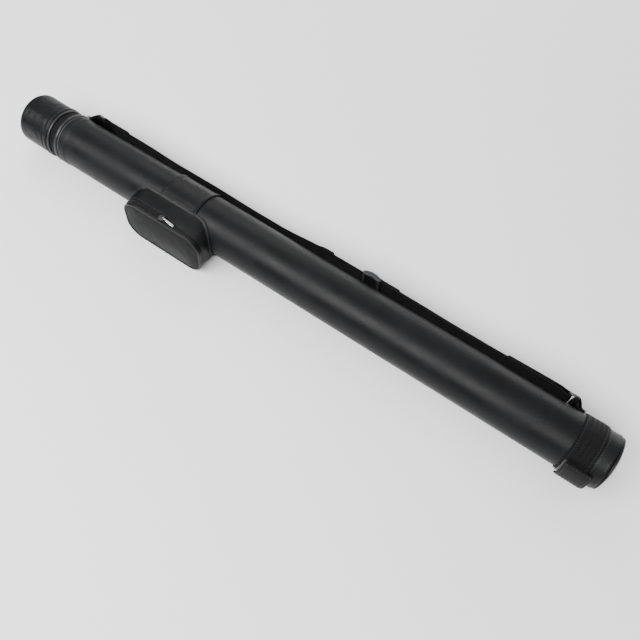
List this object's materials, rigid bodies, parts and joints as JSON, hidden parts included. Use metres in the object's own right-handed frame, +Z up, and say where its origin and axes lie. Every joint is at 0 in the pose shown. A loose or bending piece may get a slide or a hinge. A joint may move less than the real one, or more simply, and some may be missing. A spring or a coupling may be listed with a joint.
{
  "type": "cue case",
  "caption": "Long hard tube case in black leatherette with a pull-off lid, zipped side pouch, webbing shoulder strap and two padded cue compartments.",
  "frame": {"origin": "on the ground under the centre of the whole case's box, with the case lying on its side as it is used on a floor or bench", "axes": "+X runs along the tube from the pull-off lid to the closed base, +Z is up, -Y is the side with the pouch and +Y the side with the shoulder strap"},
  "size_m": [0.838, 0.1005, 0.0682],
  "materials": {
    "leatherette": "semi-gloss pebbled leatherette",
    "webbing": "woven nylon webbing",
    "piping": "smooth leatherette cord",
    "core_board": "matte tube wall",
    "foam": "closed-cell foam",
    "lining": "brushed lining",
    "felt": "felt",
    "neck_plastic": "satin moulded plastic",
    "bead_plastic": "gloss bead",
    "hook_tape": "hook tape",
    "black_metal": "gloss black painted wire",
    "black_plastic": "moulded adjuster",
    "zip_tape": "woven zip tape",
    "zip_teeth": "coil teeth",
    "nickel": "polished nickel"
  },
  "bodies": {
    "tube": {"tube_core": "core_board", "neck_tube": "neck_plastic", "neck_band": "webbing", "mouth_bead": "bead_plastic", "body_cover": "leatherette", "foam_core": "foam", "mouth_plate": "neck_plastic", "butt_liner": "lining", "shaft_liner": "lining", "bottom_pads": "felt", "base_plug": "core_board", "base_cap": "leatherette", "base_piping": "piping", "base_disc": "leatherette", "webbing_band": "webbing", "hook_patch": "hook_tape", "upper_tab": "webbing", "lower_tab": "webbing", "pouch_sleeve": "leatherette", "pouch_back": "leatherette", "pouch_gusset": "leatherette", "zip_tape_rear": "zip_tape", "zip_teeth_rear": "zip_teeth"},
    "lid": {"lid_cover": "leatherette", "lid_end_disc": "leatherette", "lid_hem": "leatherette", "lid_shell": "core_board", "lid_pad": "foam", "lid_bead": "bead_plastic"},
    "band_tail": {"band_tail": "webbing"},
    "pouch_flap": {"flap_gusset": "leatherette", "pouch_front": "leatherette", "pouch_piping": "piping", "zip_tape_front": "zip_tape", "zip_teeth_front": "zip_teeth"},
    "zip_slider": {"zip_slider": "nickel"},
    "zip_pull": {"zip_pull": "nickel"},
    "upper_strap": {"upper_ring": "black_metal", "upper_strap": "webbing"},
    "lower_strap": {"lower_ring": "black_metal", "lower_strap": "webbing"},
    "strap_adjuster": {"strap_slider": "black_plastic", "return_strap": "webbing"}
  },
  "joints": [
    {"name": "lid_slide", "type": "slide", "parent": "tube", "child": "lid", "axis": [-1, 0, 0], "range_m": [0, 0.09]},
    {"name": "tail_hinge", "type": "hinge", "parent": "tube", "child": "band_tail", "pos_m": [0.3895, -0.023, 0.05423], "axis": [-1, 0, 0], "range_deg": [0, 75]},
    {"name": "pouch_flap_hinge", "type": "hinge", "parent": "tube", "child": "pouch_flap", "pos_m": [-0.09745, -0.03889, 0.031], "axis": [0, 0.1219, 0.9925], "range_deg": [0, 60]},
    {"name": "zip_slide", "type": "slide", "parent": "tube", "child": "zip_slider", "axis": [-1, 0, 0], "range_m": [0, 0.03]},
    {"name": "zip_pull_hinge", "type": "hinge", "parent": "zip_slider", "child": "zip_pull", "pos_m": [-0.1536, -0.03542, 0.06538], "axis": [0, -1, 0], "range_deg": [0, 150]},
    {"name": "upper_strap_swing", "type": "hinge", "parent": "tube", "child": "upper_strap", "pos_m": [-0.337, 0.04585, 0.0341], "axis": [0, 0, 1], "range_deg": [0, 6]},
    {"name": "lower_strap_swing", "type": "hinge", "parent": "tube", "child": "lower_strap", "pos_m": [0.356, 0.04585, 0.0341], "axis": [0, 0, -1], "range_deg": [0, 6.6]},
    {"name": "adjuster_slide", "type": "slide", "parent": "lower_strap", "child": "strap_adjuster", "axis": [-1, 0, 0], "range_m": [0, 0.05]}
  ],
  "couplings": [
    {"joint": "lower_strap_swing", "follows": "upper_strap_swing", "ratio": 1.1}
  ]
}
